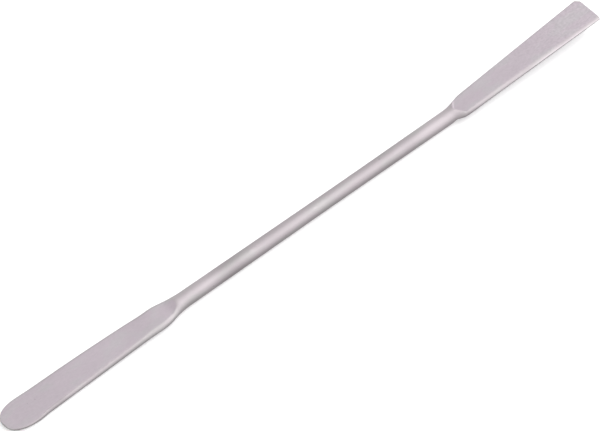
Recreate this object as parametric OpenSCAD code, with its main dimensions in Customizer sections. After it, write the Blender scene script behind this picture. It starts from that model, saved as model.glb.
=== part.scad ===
// Double-ended laboratory spatula.
// One length of round bar: the two ends are forged flat and ground, one
// blade ends in a round tip and the other flares to a square end.
// Frame: +X along the spatula towards the square end, +Z up, normal to the
// blades, Z = 0 is the bench it lies on. The origin is under the middle of
// the whole outline. All lengths are in millimetres.

/* [Overall] */
// Length from the round tip to the square end
overall_l = 150; // [142:1:160]
// Colour of the satin metal
metal = [0.76, 0.72, 0.75]; // [0:0.01:1]

/* [Handle rod] */
// Rod diameter where it meets the two blades
rod_d = 3.12; // [3.0:0.02:3.3]
// Rod diameter at its slim middle
waist_d = 2.9; // [2.6:0.02:2.98]
// Position of the slim middle along the spatula
waist_x = 5; // [-5:1:15]
// Length of the parallel stretch at the slim middle
waist_l = 10; // [4:1:20]

/* [Round blade] */
// Length of the round blade with its shoulder
round_l = 42.2; // [38:0.2:48]
// Length over which the rod spreads into the blade
round_shoulder_l = 8.2; // [7.2:0.2:10]
// Width just past the shoulder
round_root_w = 5.38; // [5:0.02:5.8]
// Width before the tip starts to round off
round_w = 6.64; // [6.2:0.02:7.2]
// How far the far edge bellies out halfway along
round_belly = 0.27; // [0:0.01:0.5]
// Length of the rounded tip
round_tip_l = 5.55; // [4.5:0.05:7]
// Thickness at the shoulder
round_root_t = 1.64; // [1.5:0.02:1.8]
// Thickness at the tip
round_tip_t = 0.94; // [0.8:0.02:1.1]
// Half-width of the soft edge beside the ground face
round_edge = 0.8; // [0.7:0.05:0.95]
// Sideways sweep of the tip
round_sweep = 0.43; // [0:0.01:0.8]
// Radius of the run-out that the grinding wheel left at the shoulder
round_runout_r = 3; // [2.4:0.1:4]

/* [Flared blade] */
// Length of the flared blade with its shoulder
flare_l = 40.45; // [36:0.05:46]
// Length over which the near edge spreads out of the rod
flare_near_l = 2.6; // [2.2:0.1:3.4]
// Length over which the far edge spreads out of the rod
flare_far_l = 5.7; // [4.8:0.1:7]
// Width just past the shoulder
flare_root_w = 4.8; // [4.5:0.02:5.2]
// Width at the square end
flare_w = 7.06; // [6.4:0.02:7.4]
// Thickness at the shoulder
flare_root_t = 1.4; // [1.3:0.02:1.6]
// Thickness at the square end
flare_tip_t = 0.8; // [0.6:0.02:0.9]
// Half-width of the bevel beside the ground face, at the square end
flare_edge = 1; // [0.9:0.05:1.2]
// Radius of the near corner of the square end
flare_near_r = 0.22; // [0.2:0.02:0.4]
// How far the far corner of the square end is ground off, at 45 degrees
flare_far_c = 0.82; // [0.6:0.02:0.9]
// How far the square end is bent up
flare_rise = 2; // [1.5:0.1:2.5]
// Sideways sweep of the square end
flare_sweep = 0.78; // [0:0.02:1]
// Half-angle of the wedge that the ground face starts with
flare_nose_a = 49.5; // [40:0.5:60]
// Radius of the run-out round that wedge
flare_runout_r = 0.55; // [0.4:0.05:0.8]

/* [Hidden] */

rod_r = rod_d / 2;
waist_r = waist_d / 2;
axis_z = rod_r;                         // the rod lies on the bench
xa = -overall_l / 2;                    // round tip
xb = overall_l / 2;                     // square end
xra = xa + round_l;                     // rod starts to spread, round side
xrb = xb - flare_l;                     // rod starts to spread, flared side
droop = axis_z - round_tip_t / 2;       // brings the round tip down to the bench
crown = 0.035;                          // forged edge stands this far over the ground faces
n_ring = 48;                            // points round one section
collar = 1.004;                         // forged section just encloses the rod it grows from
flare_nose_s = 2.15;                    // centre of the rounded point of the wedge
flare_nose_r = 0.32;                    // radius of that point
forged_over = 0.01;                     // the forging stands this far over the ground plane

// Straight run with parabolic ends of lengths c0 and c1, from 0 to 1
function ramp(u, c0, c1) =
    let (k = 1 / (1 - c0 / 2 - c1 / 2))
    u <= 0 ? 0 : u >= 1 ? 1
    : u < c0 ? k * u * u / (2 * c0)
    : u < 1 - c1 ? k * (u - c0 / 2)
    : 1 - k * (1 - u) * (1 - u) / (2 * c1);
// Height of a quarter round of length e at distance d from its end
function quarter(d, e) = d >= e ? 1 : sqrt(max(0, 1 - pow(1 - d / e, 2)));
// Height of a run-out of radius r at distance d from its foot
function run_out(d, r) =
    d <= 0 ? 0 : d < r * sin(72) ? r - sqrt(r * r - d * d)
    : r * (1 - cos(72)) + (d - r * sin(72)) * tan(72);

// Round blade: s runs from the rod towards the tip. A section is a list of
// near and far half-width, upper and lower half-height, near and far
// half-length of the flats, and the exponent of the edge.
round_run_s = 0.585 * round_shoulder_l;
function ra_t(s) = round_root_t + (round_tip_t - round_root_t) * s / round_l;
function ra_zc(s) = axis_z - droop * max(0, s) / round_l;
function ra_yc(s) = round_sweep * pow(max(0, s) / round_l, 1.6);
function ra_section(s) =
    let (u = round_shoulder_l,
         v = min(1, max(0, (s - u) / (round_l - u - round_tip_l))),
         hw = (round_root_w + (round_w - round_root_w) * pow(v, 1.3)) / 2,
         k = ramp(s / u, 0.46, 0.36),
         d = round_l - s,
         tip = d < round_tip_l ? pow(max(0, 1 - pow(1 - d / round_tip_l, 2.35)), 1 / 2.35) : 1,
         near = (rod_r * collar * (1 - k) + (hw + 0.05 * exp(-pow((s - u) / 1.6, 2))) * k) * tip,
         far = (rod_r * collar * (1 - k) + (hw + round_belly * sin(180 * v)) * k) * tip,
         c = crown + 0.1 * (1 - ramp((s - 0.73 * u) / (0.73 * u), 0.3, 0.3)),
         kt = ramp((s - 0.28 * u) / (0.35 * u), 0.25, 0.25),
         kb = ramp((s - 0.51 * u) / (0.62 * u), 0.25, 0.25),
         q = quarter(d, 0.8),
         top = (rod_r * collar * (1 - kt) + (ra_t(s) / 2 + c) * kt) * q,
         under = (rod_r * collar * (1 - kb) + (ra_t(s) / 2 + c) * kb) * q,
         kf = ramp((s - 0.35 * u) / (0.26 * u), 0.3, 0.3),
         e = round_edge + 0.6 * (1 - ramp((s - 0.91 * u) / (0.61 * u), 0.3, 0.3)))
    [near, far, top, min(under, ra_zc(s) * collar), max(0, near - e) * kf, max(0, far - e) * kf, 0.5];

// Flared blade: s runs from the rod towards the square end
function fb_t(s) = flare_root_t + (flare_tip_t - flare_root_t) * s / flare_l;
function fb_zc(s) = axis_z + flare_rise * max(0, s) / flare_l;
function fb_yc(s) = flare_sweep * pow(max(0, s) / flare_l, 1.1);
function fb_section(s) =
    let (v = max(0, (s - 2.4) / (flare_l - 2.4)),
         hw = (flare_root_w + (flare_w - flare_root_w) * v) / 2,
         kn = ramp(s / flare_near_l, 0.47, 0.12),
         kf = ramp(s / flare_far_l, 0.27, 0.35),
         d = flare_l - s,
         near = rod_r * collar * (1 - kn) + hw * kn - flare_near_r * (1 - quarter(d, flare_near_r)),
         far = rod_r * collar * (1 - kf) + hw * kf - flare_far_c * ramp(1 - d / flare_far_c, 0.2, 0.2),
         c = crown + 0.03 * (1 - ramp((s - 4) / 6, 0.3, 0.3)),
         kt = ramp((s - 0.6) / 3.9, 0.3, 0.3),
         kb = ramp(s, 0.3, 0.3),
         end = 0.16 * (1 - quarter(d, 0.16)),
         top = rod_r * collar * (1 - kt) + (fb_t(s) / 2 + c) * kt - end,
         under = rod_r * collar * (1 - kb) + (fb_t(s) / 2 + c) * kb - end,
         kr = ramp((s - 0.7) / 3.1, 0.3, 0.3),
         e = flare_edge - 0.07 * (1 - ramp(s / 28, 0.3, 0.3)))
    [near, far, top, under, max(0, near - e) * kr, max(0, far - e) * kr,
     0.5 + 0.5 * ramp((s - 6) / 14, 0.3, 0.3)];
// Half-thickness that the grinding leaves near the wedge of the face
function fb_ground(s, y) =
    let (u = s - flare_nose_s, v = abs(y), a = flare_nose_a,
         d = u * cos(a) + v * sin(a) < 0 ? norm([u, v]) : v * cos(a) - u * sin(a))
    fb_t(s) / 2 + forged_over + run_out(d - flare_nose_r, flare_runout_r);

// Middle of the whole outline, which becomes Y = 0
y_all_max = max(max([for (s = [0:0.25:round_l]) ra_yc(s) + ra_section(s)[1]]),
                max([for (s = [0:0.05:flare_l]) fb_yc(s) + fb_section(s)[1]]));
y_all_min = min(min([for (s = [0:0.25:round_l]) ra_yc(s) - ra_section(s)[0]]),
                min([for (s = [0:0.05:flare_l]) fb_yc(s) - fb_section(s)[0]]));
axis_y = -(y_all_max + y_all_min) / 2;

// Half-height of a section at y
function half_z(q, y, b) =
    let (a = y < 0 ? q[0] : q[1], f = y < 0 ? q[4] : q[5], r = max(0, (abs(y) - f) / (a - f)))
    b * pow(max(0, 1 - r * r), q[6]);
// One forged section as points, closer together towards its two edges. The
// last two points of a loft are the middles of its two ends.
function ring_t(i) = -90 + 360 * (i + 0.5) / n_ring;
function ring_y(q, t) = (q[1] - q[0]) / 2 + (q[1] + q[0]) / 2 * cos(t);
function round_ring(s) =
    let (q = ra_section(s))
    [for (i = [0:n_ring - 1])
        let (t = ring_t(i), y = ring_y(q, t), up = sin(t) > 0 ? 1 : -1)
        [xra - s, axis_y + ra_yc(s) + y, ra_zc(s) + up * half_z(q, y, up > 0 ? q[2] : q[3])]];
function flare_ring(s) =
    let (q = fb_section(s))
    [for (i = [0:n_ring - 1])
        let (t = ring_t(i), y = ring_y(q, t), up = sin(t) > 0 ? 1 : -1)
        [xrb + s, axis_y + fb_yc(s) + y,
         fb_zc(s) + up * min(half_z(q, y, up > 0 ? q[2] : q[3]), fb_ground(s, fb_yc(s) + y))]];
function loft_faces(n) = concat(
    [for (i = [0:n_ring - 1]) [n * n_ring, (i + 1) % n_ring, i]],
    [for (j = [0:n - 2], i = [0:n_ring - 1])
        let (k = (i + 1) % n_ring)
        [j * n_ring + i, j * n_ring + k, (j + 1) * n_ring + k]],
    [for (j = [0:n - 2], i = [0:n_ring - 1])
        let (k = (i + 1) % n_ring)
        [j * n_ring + i, (j + 1) * n_ring + k, (j + 1) * n_ring + i]],
    [for (i = [0:n_ring - 1]) [n * n_ring + 1, (n - 1) * n_ring + i, (n - 1) * n_ring + (i + 1) % n_ring]]);

// Stations along each blade, closer together where the shape turns
round_s = concat(
    [-0.6],
    [for (i = [0:15]) round_shoulder_l * 1.2 * i / 15],
    [for (i = [1:9]) round_shoulder_l * 1.2 + (round_l - round_tip_l - round_shoulder_l * 1.2) * i / 9],
    [for (i = [1:11]) round_l - round_tip_l * (1 - sin(90 * i / 11.25))]);
flare_s = concat(
    [-0.6],
    [for (i = [0:22]) 0.25 * i],
    [for (i = [1:8]) 5.5 + (flare_l - 1 - 5.5) * i / 8],
    [for (k = [1, 0.9, 0.8, 0.5]) flare_l - k * flare_far_c],
    [for (d = [0.22, 0.16, 0.1, 0.05, 0.02, 0]) flare_l - d]);

module rod() {
    translate([0, axis_y, axis_z])
        rotate([0, 90, 0])
            rotate_extrude($fn = 96)
                polygon([[0, xra], [rod_r, xra],
                         [waist_r, waist_x - waist_l / 2], [waist_r, waist_x + waist_l / 2],
                         [rod_r, xrb], [0, xrb]]);
}

module round_blank() {
    s0 = round_s[0];
    s1 = round_s[len(round_s) - 1];
    polyhedron(points = concat([for (s = round_s) each round_ring(s)],
                               [[xra - s0, axis_y, axis_z], [xra - s1, axis_y + ra_yc(s1), ra_zc(s1)]]),
               faces = loft_faces(len(round_s)), convexity = 4);
}

module flare_blank() {
    s0 = flare_s[0];
    s1 = flare_s[len(flare_s) - 1];
    polyhedron(points = concat([for (s = flare_s) each flare_ring(s)],
                               [[xrb + s0, axis_y, axis_z], [xrb + s1, axis_y + fb_yc(s1), fb_zc(s1)]]),
               faces = [for (q = loft_faces(len(flare_s))) [for (i = [len(q) - 1:-1:0]) q[i]]], convexity = 4);
}

// What the grinding wheel takes off one side of a blade, as a side profile:
// a straight pass up to (x1, z1) that starts beyond (x0, z0), and the wheel's
// arc of radius r out of the metal. up is 1 for the top and -1 underneath.
module ground_off(x0, z0, x1, z1, r, up) {
    dir = x1 > x0 ? 1 : -1;
    slope = atan2(z1 - z0, (x1 - x0) * dir);
    xs = x0 - 2 * dir;
    zs = z0 - 2 * tan(slope);
    cx = x1 - up * dir * r * sin(slope);
    cz = z1 + up * r * cos(slope);
    arc = [for (i = [0:12])
        let (t = slope * up + 72 * i / 12) [cx + dir * r * sin(t), cz - up * r * cos(t)]];
    translate([0, 8, 0])
        rotate([90, 0, 0])
            linear_extrude(16)
                polygon(concat([[xs, zs]], arc,
                               [[arc[12][0] + dir * 0.35, z1 + up * 5], [xs, z1 + up * 5]]));
}

module spatula() color(metal) difference() {
    union() {
        rod();
        round_blank();
        flare_blank();
    }
    for (up = [1, -1]) {
        ground_off(xa, ra_zc(round_l) + up * round_tip_t / 2,
                   xra - round_run_s, ra_zc(round_run_s) + up * ra_t(round_run_s) / 2, round_runout_r, up);
        let (s1 = flare_nose_s + 3.2)
        ground_off(xb, fb_zc(flare_l) + up * flare_tip_t / 2,
                   xrb + s1, fb_zc(s1) + up * fb_t(s1) / 2, 0.5, up);
    }
}

spatula();
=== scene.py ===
import math

import bpy
import numpy as np
from mathutils import Matrix, Vector


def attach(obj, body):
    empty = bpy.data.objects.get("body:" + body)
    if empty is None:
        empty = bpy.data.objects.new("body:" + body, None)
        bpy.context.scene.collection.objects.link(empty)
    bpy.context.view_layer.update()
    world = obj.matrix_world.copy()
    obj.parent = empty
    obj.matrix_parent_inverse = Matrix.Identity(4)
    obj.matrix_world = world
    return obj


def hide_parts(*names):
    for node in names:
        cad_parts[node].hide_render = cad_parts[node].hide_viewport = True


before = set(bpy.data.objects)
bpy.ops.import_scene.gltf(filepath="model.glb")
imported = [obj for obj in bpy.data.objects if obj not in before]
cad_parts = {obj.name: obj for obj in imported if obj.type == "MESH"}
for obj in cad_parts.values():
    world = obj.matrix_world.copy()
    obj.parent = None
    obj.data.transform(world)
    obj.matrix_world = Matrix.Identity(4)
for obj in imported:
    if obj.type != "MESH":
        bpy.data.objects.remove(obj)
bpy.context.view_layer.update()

MM = 0.001
scene = bpy.context.scene

# ---------------------------------------------------------------- camera
# The long axis of the spatula is X. The camera looks down on it from the
# round tip's side, 47.7 degrees up.
CAM_AZ, CAM_EL, CAM_DIST = -43.058, 47.7, 0.5
az, el = math.radians(CAM_AZ), math.radians(CAM_EL)
back = Vector((math.sin(az) * math.cos(el), -math.cos(az) * math.cos(el), math.sin(el)))
right = (-back).cross(Vector((0, 0, 1))).normalized()
up = right.cross(-back).normalized()
aim = Vector((-4.3, -0.6565, 1.54)) * MM - right * 0.240 * MM + up * 0.577 * MM
cam_data = bpy.data.cameras.new("camera")
cam_data.sensor_width = 36.0
cam_data.lens = 161.12
cam_data.clip_start, cam_data.clip_end = 0.01, 20.0
camera = bpy.data.objects.new("camera", cam_data)
scene.collection.objects.link(camera)
camera.location = aim + back * CAM_DIST
camera.rotation_euler = Matrix((right, up, back)).transposed().to_euler()
scene.camera = camera

# ---------------------------------------------------------------- sizes, mm
L = 150.0
XA, XB = -L / 2, L / 2
AXIS_Z = 1.56
ROD_R, WAIST_R, WAIST_X0, WAIST_X1 = 1.56, 1.45, 0.0, 10.0
CROWN = 0.035
XRA, XRB = -32.8, 34.55                 # the rod starts to spread at these
# near is -Y, far is +Y; lengths are counted from XRA towards the tip
RO = dict(l=XRA - XA, near=8.3, far=8.1, soft0=0.46, soft1=0.36, root_w=5.38, w=6.64, spread=1.3, belly=0.27,
          corner=0.05, tip_l=5.55, tip_e=2.35, root_t=1.64, tip_t=0.94, sweep=0.43, sweep_e=1.6, run_x=4.8, run_r=3.0,
          top0=2.3, top_l=2.9, under0=4.2, under_l=5.1, face0=2.9, face_l=2.1, edge=0.8, edge_root=1.4, crown_root=0.1,
          low=0.22, edge_tip=0.3, shoulder=0.09)
# and from XRB towards the square end
FL = dict(l=XB - XRB, near=2.6, far=5.7, root_w=4.8, w=7.06, root_t=1.4, tip_t=0.8, sweep=0.78, sweep_e=1.1,
          nose_x=2.15, nose_r=0.32, nose_rr=0.55, nose_a=49.5, top0=0.6, top_l=3.9, under_l=1.0, face0=0.7, face_l=3.1,
          edge0=0.93, edge1=1.0, crown_root=0.03, bevel0=6.0, bevel_l=14.0, rise=2.0, corner=0.82, corner_near=0.22,
          edge_far=0.45, wall=0.3, skew=0.085, skew_l=5.0)
DROOP = AXIS_Z - RO["tip_t"] / 2


def ramp(u, c0, c1):
    u = np.clip(u, 0.0, 1.0)
    k = 1 / (1 - c0 / 2 - c1 / 2)
    return np.where(u < c0, k * u * u / (2 * c0),
                    np.where(u < 1 - c1, k * (u - c0 / 2), 1 - k * (1 - u) ** 2 / (2 * c1)))


def quarter(d, e):
    return np.where(d >= e, 1.0, np.sqrt(np.maximum(0.0, 1 - (1 - d / e) ** 2)))


def smin(a, b, k):
    h = np.maximum(k - np.abs(a - b), 0.0) / k
    return np.minimum(a, b) - h * h * k * 0.25


def rod_radius(x):
    """Straight cones to the slim middle, with the joins rounded over."""
    r = np.interp(x, [XRA, WAIST_X0, WAIST_X1, XRB], [ROD_R, WAIST_R, WAIST_R, ROD_R])
    for x0, slope in ((WAIST_X0, (WAIST_R - ROD_R) / (WAIST_X0 - XRA)), (WAIST_X1, (ROD_R - WAIST_R) / (XRB - WAIST_X1))):
        d = np.abs(x - x0)
        r = r + np.where(d < 6, abs(slope) * (6 - d) ** 2 / 24.0, 0.0)
    return r


def sections(x):
    """For each x: centre y and z, half-widths near and far, half-heights over and under, half-flats near and far,
    and the exponent of the rounded edge: 0.5 is an ellipse, 1 a bevelled edge."""
    r = rod_radius(x)
    yc, zc = np.zeros_like(x), np.full_like(x, AXIS_Z)
    aN, aF, bT, bB = r.copy(), r.copy(), r.copy(), r.copy()
    fN, fF, ex = np.zeros_like(x), np.zeros_like(x), np.full_like(x, 0.5)

    # round blade
    m = x < XRA
    s = XRA - x[m]
    d = RO["l"] - s
    v = np.clip((s - RO["near"]) / (RO["l"] - RO["near"] - RO["tip_l"]), 0, 1)
    hw = (RO["root_w"] + (RO["w"] - RO["root_w"]) * v ** RO["spread"]) / 2
    t = RO["root_t"] + (RO["tip_t"] - RO["root_t"]) * s / RO["l"]
    tip = np.where(d < RO["tip_l"], np.maximum(0, 1 - np.abs(1 - d / RO["tip_l"]) ** RO["tip_e"]) ** (1 / RO["tip_e"]), 1.0)
    kN = ramp(s / RO["near"], RO["soft0"], RO["soft1"])
    kF = ramp(s / RO["far"], RO["soft0"], RO["soft1"])
    bump = RO["corner"] * np.exp(-((s - RO["near"]) / 1.6) ** 2)
    aN[m] = (ROD_R * (1 - kN) + (hw + bump) * kN) * tip
    full = RO["shoulder"] * np.exp(-((s - 5) / 2.6) ** 2)
    aF[m] = (ROD_R * (1 - kF) + (hw + RO["belly"] * np.sin(math.pi * v)) * kF + full) * tip
    c = CROWN + RO["crown_root"] * (1 - ramp((s - 6) / 6, 0.3, 0.3))
    for b, s0, sl in ((bT, RO["top0"], RO["top_l"]), (bB, RO["under0"], RO["under_l"])):
        k = ramp((s - s0) / sl, 0.25, 0.25)
        b[m] = ROD_R * (1 - k) + (t / 2 + c) * k
    k = ramp((s - RO["face0"]) / RO["face_l"], 0.3, 0.3)
    e = RO["edge_root"] + (RO["edge"] - RO["edge_root"]) * ramp((s - 7.5) / 5, 0.3, 0.3)
    e = RO["edge_tip"] + (e - RO["edge_tip"]) * ramp((d - 1) / 9, 0.3, 0.3)
    fN[m] = np.maximum(0, aN[m] - e) * k
    fF[m] = np.maximum(0, aF[m] - e) * k
    zc[m] = AXIS_Z - DROOP * s / RO["l"]
    yc[m] = RO["sweep"] * (s / RO["l"]) ** RO["sweep_e"]
    bB[m] = np.minimum(bB[m], zc[m])        # the underside stays on the bench

    # flared blade
    m = x > XRB
    s = x[m] - XRB
    d = FL["l"] - s
    v = np.maximum(0, (s - 2.4) / (FL["l"] - 2.4))
    hw = (FL["root_w"] + (FL["w"] - FL["root_w"]) * v) / 2
    t = FL["root_t"] + (FL["tip_t"] - FL["root_t"]) * s / FL["l"]
    kN = ramp(s / FL["near"], 0.47, 0.12)
    kF = ramp(s / FL["far"], 0.27, 0.35)
    aN[m] = ROD_R * (1 - kN) + hw * kN - FL["corner_near"] * (1 - quarter(d, FL["corner_near"]))
    aF[m] = ROD_R * (1 - kF) + hw * kF - FL["corner"] * ramp(1 - d / FL["corner"], 0.2, 0.2)
    c = CROWN + FL["crown_root"] * (1 - ramp((s - 4) / 6, 0.3, 0.3))
    for b, s0, sl in ((bT, FL["top0"], FL["top_l"]), (bB, 0.0, FL["under_l"])):
        k = ramp((s - s0) / sl, 0.3, 0.3)
        b[m] = ROD_R * (1 - k) + (t / 2 + c) * k - 0.16 * (1 - quarter(d, 0.16))
    k = ramp((s - FL["face0"]) / FL["face_l"], 0.3, 0.3)
    e = FL["edge0"] + (FL["edge1"] - FL["edge0"]) * ramp(s / 28.0, 0.3, 0.3)
    fN[m] = np.maximum(0, aN[m] - e) * k
    fF[m] = np.maximum(0, aF[m] - e * (1 + (FL["edge_far"] - 1) * ramp(s / 16, 0.3, 0.3))) * k
    zc[m] = AXIS_Z + FL["rise"] * s / FL["l"]
    yc[m] = FL["sweep"] * (s / FL["l"]) ** FL["sweep_e"]
    ex[m] = 0.5 + 0.5 * ramp((s - FL["bevel0"]) / FL["bevel_l"], 0.3, 0.3)
    return yc, zc, aN, aF, bT, bB, fN, fF, ex


def arc(d, r):
    """Height of a run-out of radius r at the distance d from its foot: 72 degrees of arc, then straight."""
    a = math.radians(72)
    de = r * math.sin(a)
    d = np.maximum(0.0, d)
    return np.where(d < de, r - np.sqrt(np.maximum(1e-9, r * r - np.minimum(d, de) ** 2)),
                    r * (1 - math.cos(a)) + (d - de) * math.tan(a))


def ground(x, y):
    """Half-thickness that the grinding leaves at (x, y), measured from the middle of the blade."""
    if np.all(x < 0):
        s = XRA - x
        return (RO["root_t"] + (RO["tip_t"] - RO["root_t"]) * s / RO["l"]) / 2 + arc(x - XRA + RO["run_x"], RO["run_r"])
    # the nose of the face is a wedge with a rounded point
    s = x - XRB
    u, v = s - FL["nose_x"], np.abs(y)
    ca, sa = math.cos(math.radians(FL["nose_a"])), math.sin(math.radians(FL["nose_a"]))
    dist = np.where(u * ca + v * sa < 0, np.hypot(u, v), v * ca - u * sa) - FL["nose_r"]
    return (FL["root_t"] + (FL["tip_t"] - FL["root_t"]) * s / FL["l"]) / 2 + arc(dist, FL["nose_rr"])


def stations():
    def run(x0, x1, step):
        n = max(1, int(round(abs(x1 - x0) / step)))
        return list(np.linspace(x0, x1, n, endpoint=False))
    th = np.linspace(0, math.pi / 2, 60)
    xs = list(XA + RO["tip_l"] * (1 - np.cos(th)))[1:-1]
    xs += run(XA + RO["tip_l"], -43.5, 0.25)
    xs += run(-43.5, -39.5, 0.1)
    xs += run(-39.5, -33.0, 0.05)
    xs += run(-33.0, 34.4, 0.5)
    xs += run(34.4, 39.6, 0.03)
    xs += run(39.6, 42.0, 0.08)
    xs += run(42.0, XB - 1.0, 0.25)
    xs += list(XB - 1.0 * (1 - np.sin(np.linspace(0, math.pi / 2, 24))))
    return np.array(xs)


N = 96          # points round one section
DENSE = 361     # points on each quarter before it is evened out


def low_edge(x):
    """How far the widest line of the section sits below the middle of the round blade: it climbs above it at the tip."""
    s = XRA - x
    d = RO["l"] - s
    k = -0.5 + (RO["low"] + 0.5) * ramp((d - 2.5) / 6, 0.3, 0.3)
    return k * (RO["root_t"] + (RO["tip_t"] - RO["root_t"]) * s / RO["l"]) / 2 * ramp((s - 4) / 6, 0.3, 0.3)


def build_rows(xs):
    yc, zc, aN, aF, bT, bB, fN, fF, ex = sections(xs)
    axis_y = -((yc + aF).max() + (yc - aN).min()) / 2
    rows = np.zeros((len(xs), N, 3))
    face = np.zeros((len(xs), N))
    rim = np.zeros((len(xs), N))
    q = N // 4
    tt = np.linspace(0, math.pi / 2, DENSE)
    # softness of the edges that the grinding leaves: crisp at the shoulders, rolled over along the round blade
    soft = 0.05 + 0.07 * ramp((XRA - xs - 9) / 6, 0.3, 0.3)
    cut = FL["skew"] * ramp((xs - XB + FL["skew_l"]) / FL["skew_l"], 0.3, 0.3)
    for i, x in enumerate(xs):
        pts, msk, edg = [], [], []
        low = float(low_edge(x)) if x < XRA else 0.0
        trim = max(1.25 * low, 0.4 * low)
        d = x - XA
        # round tip: a thin rim above, the underside relieved
        lift = (quarter(d, 0.3), quarter(d, 1.3)) if x < XRA else (1.0, 1.0)
        relief = 1.3 * (1 - ramp((d - 2) / 7, 0.3, 0.3)) if x < XRA else 0.0
        wall = FL["wall"] * (2 * ex[i] - 1)     # upright part of the flared blade's bevelled edge
        for quad in range(4):
            t = tt + quad * math.pi / 2
            side = 1.0 if quad in (0, 3) else -1.0
            a, f = (aF[i], fF[i]) if side > 0 else (aN[i] - trim, max(0.0, fN[i] - trim))
            b = (bT[i] + low) * lift[0] if quad < 2 else (bB[i] - low) * lift[1]
            if quad > 1 and relief > 0:
                f = min(f, max(0.0, a - relief))
            y = side * f + (a - f) * np.cos(t)
            z = (1 - wall) * np.abs(np.sin(t)) ** (2 * ex[i]) + wall * np.sqrt(np.maximum(0, 1 - np.abs(np.cos(t)) ** 24))
            z = b * np.sign(np.sin(t)) * z
            # the flats: run to the middle of the section
            if f > 1e-6:
                ym = np.linspace(side * f, 0, 120)[1:] if quad in (0, 2) else np.linspace(0, side * f, 120)[:-1]
                zm = np.full(len(ym), b if quad < 2 else -b)
                if quad in (0, 2):
                    y, z = np.concatenate([y, ym]), np.concatenate([z, zm])
                else:
                    y, z = np.concatenate([ym, y]), np.concatenate([zm, z])
            z = z - low
            # the square end is cut a little out of square
            xp = x - cut[i] * (aF[i] - y)
            g = ground(xp, y + yc[i]) if (x < XRA + 3 or x > XRB - 3) else 50.0 + 0 * y
            over = np.abs(z) - g
            yl = y
            z = smin(z, g, soft[i]) if quad < 2 else -smin(-z, g, soft[i])
            y, z = y + yc[i] + axis_y, z + zc[i] + (xp - x) * FL["rise"] / FL["l"]
            dy, dz = np.diff(y), np.diff(z)
            ds = np.hypot(dy, dz)
            ang = np.unwrap(np.arctan2(dz, dy))
            turn = np.concatenate([[0], np.abs(np.diff(ang))])
            meas = ds / (ds.sum() + 1e-9) + 0.9 * turn / (turn.sum() + 1e-6) + 1e-6
            cum = np.concatenate([[0], np.cumsum(meas)])
            u = np.linspace(0, cum[-1], q, endpoint=False)
            pts.append(np.stack([np.interp(u, cum, xp), np.interp(u, cum, y), np.interp(u, cum, z)], 1))
            msk.append(np.clip(np.interp(u, cum, over) / 0.03 + 0.7, 0, 1))
            edg.append(np.clip((np.interp(u, cum, np.abs(yl)) - f) / (a - f), 0, 1))
        rows[i] = np.concatenate(pts)
        face[i] = np.concatenate(msk)
        rim[i] = np.concatenate(edg)
    # how far out a point is on the edge of a blade: 0 on the rod and the flats, 1 on the very rim
    blade = ramp((XRA - xs - 8) / 8, 0.3, 0.3) + ramp((xs - XRB - 10) / 14, 0.3, 0.3)
    return rows, face, rim * blade[:, None], axis_y


xs = stations()
rows, face, rim, AXIS_Y = build_rows(xs)
verts = (rows.reshape(-1, 3) * MM)
M = len(xs)
faces = []
for j in range(M - 1):
    for i in range(N):
        i2 = (i + 1) % N
        faces.append((j * N + i, j * N + i2, (j + 1) * N + i2, (j + 1) * N + i))
verts = list(map(tuple, verts))
tip_z = AXIS_Z - DROOP - float(low_edge(XA))
verts.append((XA * MM, (AXIS_Y + RO["sweep"]) * MM, tip_z * MM))
tip_i = len(verts) - 1
for i in range(N):
    faces.append((tip_i, (i + 1) % N, i))
base = (M - 1) * N
# flat end: joined straight across from the top half to the underside
for i in range(0, N // 2):
    a0, a1 = base + i, base + i + 1
    b0, b1 = base + (N - i) % N, base + (N - i - 1) % N
    if i == 0:
        faces.append((a0, a1, b1))
    elif i == N // 2 - 1:
        faces.append((a0, a1, b0))
    else:
        faces.append((a0, a1, b1, b0))
mesh = bpy.data.meshes.new("spatula_metal")
mesh.from_pydata(verts, [], faces)
mesh.validate()
mesh.update()
spatula = bpy.data.objects.new("spatula_metal", mesh)
scene.collection.objects.link(spatula)
bpy.context.view_layer.objects.active = spatula
spatula.select_set(True)
bpy.ops.object.mode_set(mode="EDIT")
bpy.ops.mesh.select_all(action="SELECT")
bpy.ops.mesh.normals_make_consistent(inside=False)
bpy.ops.object.mode_set(mode="OBJECT")
for p in mesh.polygons:
    p.use_smooth = True
for name, values in (("ground_face", face), ("rim", rim)):
    attribute = mesh.attributes.new(name, "FLOAT", "POINT")
    attribute.data.foreach_set("value", np.append(values.reshape(-1), 0.0).astype(np.float32))

# ---------------------------------------------------------------- metal
# Satin steel: the rod is polished along its length, the two flats are ground
# and then tumbled. All patterns sit on the object's own coordinates, in mm.
metal = bpy.data.materials.new("satin_steel")
metal.use_nodes = True
nt = metal.node_tree
nodes, links = nt.nodes, nt.links
bsdf = nodes["Principled BSDF"]
bsdf.distribution = "GGX"
bsdf.inputs["Metallic"].default_value = 1.0
bsdf.inputs["Specular Tint"].default_value = (0.85, 0.85, 0.85, 1)


def feed(sock, v):
    if hasattr(v, "is_output"):
        links.new(v, sock)
    else:
        sock.default_value = v


def mixer(fac, a, b, blend="MIX"):
    n = nodes.new("ShaderNodeMix")
    n.data_type = "RGBA"
    n.blend_type = blend
    for sock, v in ((n.inputs[0], fac), (n.inputs[6], a), (n.inputs[7], b)):
        feed(sock, v)
    return n.outputs[2]


def calc(op, a, b=0.0, c=0.0, clamp=False):
    n = nodes.new("ShaderNodeMath")
    n.operation = op
    n.use_clamp = clamp
    for k, v in enumerate((a, b, c)):
        feed(n.inputs[k], v)
    return n.outputs[0]


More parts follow.
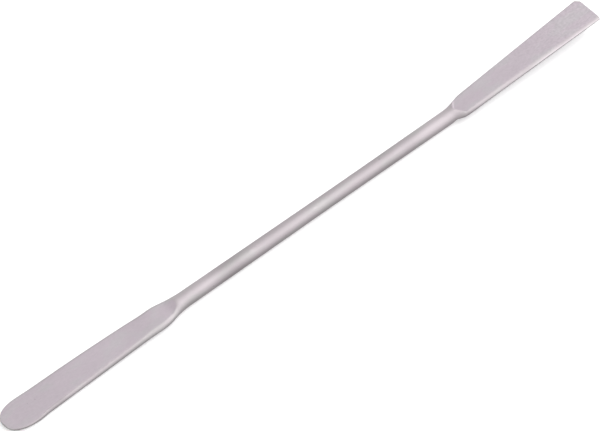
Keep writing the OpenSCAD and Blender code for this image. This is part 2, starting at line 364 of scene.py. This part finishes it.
def between(v, x0, x1, y0, y1, smooth=False):
    n = nodes.new("ShaderNodeMapRange")
    if smooth:
        n.interpolation_type = "SMOOTHSTEP"
    for key, w in (("Value", v), ("From Min", x0), ("From Max", x1), ("To Min", y0), ("To Max", y1)):
        feed(n.inputs[key], w)
    return n.outputs["Result"]


def placed(scale, turn=0.0, shift=(0, 0, 0)):
    n = nodes.new("ShaderNodeMapping")
    n.inputs["Scale"].default_value = scale
    n.inputs["Rotation"].default_value = (0, 0, math.radians(turn))
    n.inputs["Location"].default_value = shift
    links.new(mm.outputs["Vector"], n.inputs["Vector"])
    return n.outputs["Vector"]


def noise(vector, scale, detail=2.0, rough=0.5):
    n = nodes.new("ShaderNodeTexNoise")
    n.inputs["Scale"].default_value = scale
    n.inputs["Detail"].default_value = detail
    n.inputs["Roughness"].default_value = rough
    links.new(vector, n.inputs["Vector"])
    return n.outputs[0]


def wobble(v, size):
    """A noise of mean 0.5 as a change of at most about size each way."""
    return calc("MULTIPLY", calc("SUBTRACT", v, 0.5), 4.0 * size)


where = nodes.new("ShaderNodeTexCoord")
mm = nodes.new("ShaderNodeVectorMath")
mm.operation = "SCALE"
mm.inputs["Scale"].default_value = 1000.0
links.new(where.outputs["Object"], mm.inputs[0])
axis = nodes.new("ShaderNodeSeparateXYZ")
links.new(mm.outputs["Vector"], axis.inputs[0])
along = axis.outputs["X"]


def attribute(name):
    n = nodes.new("ShaderNodeAttribute")
    n.attribute_name = name
    return n.outputs["Fac"]


flat, edge = attribute("ground_face"), attribute("rim")
bright_rim = between(edge, 0.55, 1.0, 0.0, 1.0, True)

# slow drift of the tone and of the tint
drift = wobble(noise(placed((0.05, 0.3, 0.3)), 1.0, 1.0), 0.015)
patches = noise(placed((0.15, 0.38, 0.38), 20, (7, 3, 1)), 1.0, 2.0, 0.5)
cloud = wobble(noise(placed((0.35, 0.8, 0.8), -12, (2, 9, 4)), 1.0, 3.0, 0.6), 0.02)
# satin finish: polishing lines along the rod, slanting lines on the flats, fine grain everywhere
lines = noise(placed((0.12, 7.0, 7.0)), 1.0, 3.0, 0.65)
slants = noise(placed((0.5, 6.0, 1.0), 52), 1.0, 3.0, 0.65)
finish = mixer(flat, lines, slants)
grain = noise(placed((9.0, 9.0, 9.0)), 1.0, 2.0, 0.6)
mottle = noise(placed((1.6, 2.6, 2.6), 30, (4, 6, 8)), 1.0, 1.0, 0.5)
mottle = calc("MULTIPLY", wobble(mottle, 0.09), calc("ADD", between(along, 44.0, 66.0, 0.25, 1.0), between(along, -66.0, -46.0, 0.1, 0.0)))
mottle = calc("MULTIPLY", mottle, flat)


# hairline scratches: thin level lines of stretched noises, broken up by a coarse one
def hairlines(turn, stretch, shift, width, keep):
    n = noise(placed((stretch, 1.3, 1.3), turn, shift), 1.0, 1.0, 0.4)
    gate = noise(placed((0.5, 0.7, 0.7), turn, shift), 1.0, 0.0)
    line = between(calc("ABSOLUTE", calc("SUBTRACT", n, 0.5)), 0.0, width, 1.0, 0.0)
    return calc("MULTIPLY", line, between(gate, keep, keep + 0.05, 0.0, 1.0))


scratches = calc("MAXIMUM", hairlines(8, 0.05, (3, 1, 5), 0.012, 0.53),
                 calc("MAXIMUM", hairlines(-31, 0.07, (11, 4, 2), 0.010, 0.57), hairlines(64, 0.09, (5, 8, 3), 0.010, 0.59)))

# small pits and specks
spots = nodes.new("ShaderNodeTexVoronoi")
spots.inputs["Scale"].default_value = 0.55
links.new(mm.outputs["Vector"], spots.inputs["Vector"])
pick = nodes.new("ShaderNodeSeparateColor")
links.new(spots.outputs["Color"], pick.inputs[0])
speck = calc("MULTIPLY", between(spots.outputs["Distance"], 0.05, 0.13, 1.0, 0.0, True),
             between(pick.outputs[0], 0.74, 0.76, 0.0, 1.0))

# painted highlight and shade: the rod's tone is raised or lowered in places along it, so that its highlight brightens
# and dims: (where along it, reach, how much)
painted_light_bands = 0.0
for at, reach, much in ((-37.0, 7.0, 0.07), (-28.8, 5.0, 0.08), (-22.3, 6.5, -0.12), (-6.0, 6.0, 0.02), (17.0, 4.0, -0.05),
                        (30.2, 7.0, 0.13), (38.2, 3.0, -0.09)):
    spot = between(calc("ABSOLUTE", calc("SUBTRACT", along, at)), 0.0, reach, much, 0.0, True)
    painted_light_bands = calc("ADD", spot, painted_light_bands)
# and painted shade: darker on the far side of its middle
painted_light_bands = calc("ADD", painted_light_bands, calc("MULTIPLY", between(axis.outputs["Y"], -0.5, 0.6, 0.0, -0.1, True),
                                calc("MULTIPLY", between(along, -25.0, -16.0, 0.0, 1.0, True), between(along, 17.0, 28.0, 1.0, 0.0, True))))
painted_light_bands = calc("MULTIPLY", painted_light_bands, calc("SUBTRACT", 1.0, flat))

# painted light on the flats: their tone is graded along their length, slightly brighter towards the square end and in
# places along the round blade
slope = calc("MULTIPLY", flat, calc("ADD", between(along, 34.0, 66.0, -0.035, 0.0), between(along, 66.0, 73.0, 0.0, 0.02)))
slope = calc("ADD", slope, calc("MULTIPLY", calc("MULTIPLY", flat, between(along, -73.0, -52.0, 0.045, 0.07, True)),
                                between(along, -52.0, -40.0, 1.0, 0.2, True)))
slope = calc("ADD", slope, calc("MULTIPLY", flat, calc("MULTIPLY", between(along, -44.0, -38.5, 0.0, 0.06, True), between(along, -34.0, -30.0, 1.0, 0.0))))

# the rims are brightened, partly for wear and partly as a painted highlight along the edge: the flared blade's most,
# its far rim most of all as painted highlight, the round blade's hardly
rim_wear_and_highlight = calc("ADD", between(along, -50.0, 50.0, -0.05, 0.08),
            calc("MULTIPLY", between(axis.outputs["Y"], 0.5, 1.5, 0.0, 0.17), between(along, 50.0, 70.0, 0.0, 1.0)))
# painted shade darkens the near rim of the round blade in one place, and a painted highlight brightens it where it
# turns into the tip
near_side = between(axis.outputs["Y"], -0.4, 0.3, 1.0, 0.0, True)
painted_shade_near_rim = calc("MULTIPLY", between(edge, 0.1, 0.45, 0.0, 1.0, True), calc("MULTIPLY", near_side,
            between(calc("ABSOLUTE", calc("ADD", along, 66.5)), 1.5, 6.0, -0.11, 0.0, True)))
painted_highlight_tip_rim = calc("MULTIPLY", near_side, calc("MULTIPLY", between(along, -74.8, -73.6, 0.28, 0.0, True), between(edge, 0.3, 0.8, 0.0, 1.0, True)))

tone = calc("ADD", 1.0, drift)
for part in (cloud, slope, wobble(finish, 0.02), wobble(grain, 0.014), mottle, calc("MULTIPLY", bright_rim, rim_wear_and_highlight), painted_shade_near_rim, painted_highlight_tip_rim, painted_light_bands,
             calc("MULTIPLY", scratches, -0.05), calc("MULTIPLY", speck, -0.12)):
    tone = calc("ADD", tone, part)

tint = mixer(between(patches, 0.34, 0.52, 0.0, 1.0, True), (0.984, 1.014, 0.992, 1), (1.006, 0.994, 1.002, 1))
color = mixer(flat, (0.5215, 0.4805, 0.498, 1), (0.574, 0.514, 0.557, 1))
color = mixer(1.0, color, tint, "MULTIPLY")
shade = nodes.new("ShaderNodeVectorMath")
shade.operation = "SCALE"
links.new(color, shade.inputs[0])
links.new(tone, shade.inputs["Scale"])
links.new(shade.outputs["Vector"], bsdf.inputs["Base Color"])

rough = calc("ADD", 0.609, wobble(finish, 0.035))
for part in (wobble(grain, 0.03), wobble(patches, 0.02), calc("MULTIPLY", bright_rim, -0.07),
             calc("MULTIPLY", scratches, -0.09), calc("MULTIPLY", speck, 0.1)):
    rough = calc("ADD", rough, part)
links.new(rough, bsdf.inputs["Roughness"])

height = calc("MULTIPLY", finish, 0.5)
for part in (calc("MULTIPLY", grain, 0.35), calc("MULTIPLY", scratches, -0.5), calc("MULTIPLY", speck, -0.8)):
    height = calc("ADD", height, part)
bump = nodes.new("ShaderNodeBump")
bump.inputs["Strength"].default_value = 0.5
bump.inputs["Distance"].default_value = 0.00002
links.new(height, bump.inputs["Height"])
links.new(bump.outputs["Normal"], bsdf.inputs["Normal"])
mesh.materials.append(metal)

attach(spatula, "root")
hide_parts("spatula")

# ---------------------------------------------------------------- studio
WORLD_LOW, WORLD_TOP, KEY_L = 1.19, 0.815, 1.444
# the metal mirrors the lower half of the world in place of the floor, so the floor can be paper white
WORLD_UNDER, UNDER_Z = 0.5, 0.5
bpy.ops.mesh.primitive_plane_add(size=20.0, location=(0, 0, 0))
floor = bpy.context.object
floor.name = "floor"
fm = bpy.data.materials.new("floor_paper")
fm.use_nodes = True
fb = fm.node_tree.nodes["Principled BSDF"]
fb.inputs["Base Color"].default_value = (0.95, 0.95, 0.95, 1)
fb.inputs["Roughness"].default_value = 0.9
fb.inputs["Specular IOR Level"].default_value = 0.1
# faintly lit from under, like a light table, which keeps the shadow on it light
fb.inputs["Emission Color"].default_value = (1, 1, 1, 1)
fb.inputs["Emission Strength"].default_value = 0.22
floor.data.materials.append(fm)
floor.visible_glossy = False

world = bpy.data.worlds.new("studio")
scene.world = world
world.use_nodes = True
wn, wl = world.node_tree.nodes, world.node_tree.links
bg = wn["Background"]
coord = wn.new("ShaderNodeTexCoord")
split = wn.new("ShaderNodeSeparateXYZ")
grade = wn.new("ShaderNodeMapRange")
grade.inputs["From Min"].default_value = 0.0
grade.inputs["From Max"].default_value = 1.0
grade.inputs["To Min"].default_value = WORLD_LOW
grade.inputs["To Max"].default_value = WORLD_TOP
wl.new(coord.outputs["Generated"], split.inputs[0])
wl.new(split.outputs["Z"], grade.inputs["Value"])
under = wn.new("ShaderNodeMapRange")
under.inputs["From Min"].default_value = -UNDER_Z
under.inputs["From Max"].default_value = 0.0
under.inputs["To Min"].default_value = WORLD_UNDER - WORLD_LOW
under.inputs["To Max"].default_value = 0.0
wl.new(split.outputs["Z"], under.inputs["Value"])
both = wn.new("ShaderNodeMath")
both.operation = "ADD"
wl.new(grade.outputs["Result"], both.inputs[0])
wl.new(under.outputs["Result"], both.inputs[1])
wl.new(both.outputs[0], bg.inputs["Strength"])
bg.inputs["Color"].default_value = (1, 1, 1, 1)


def softbox(name, direction, distance, size, power):
    d = Vector(direction).normalized()
    data = bpy.data.lights.new(name, "AREA")
    data.shape = "DISK"
    data.size = size
    data.energy = power
    o = bpy.data.objects.new(name, data)
    scene.collection.objects.link(o)
    o.location = d * distance
    o.rotation_euler = (-d).to_track_quat("-Z", "Y").to_euler()
    return o


key_el, key_az = math.radians(41.2), math.radians(-29.2)
key_dist, key_half = 1.5, math.radians(36.4)
key_size = 2 * key_dist * math.tan(key_half)
softbox("key", (math.cos(key_el) * math.cos(key_az), math.cos(key_el) * math.sin(key_az), math.sin(key_el)),
        key_dist, key_size, KEY_L * math.pi * math.pi * (key_size / 2) ** 2)

scene.view_settings.view_transform = "Standard"
scene.view_settings.look = "None"
scene.view_settings.exposure = 0.0
scene.view_settings.gamma = 1.0
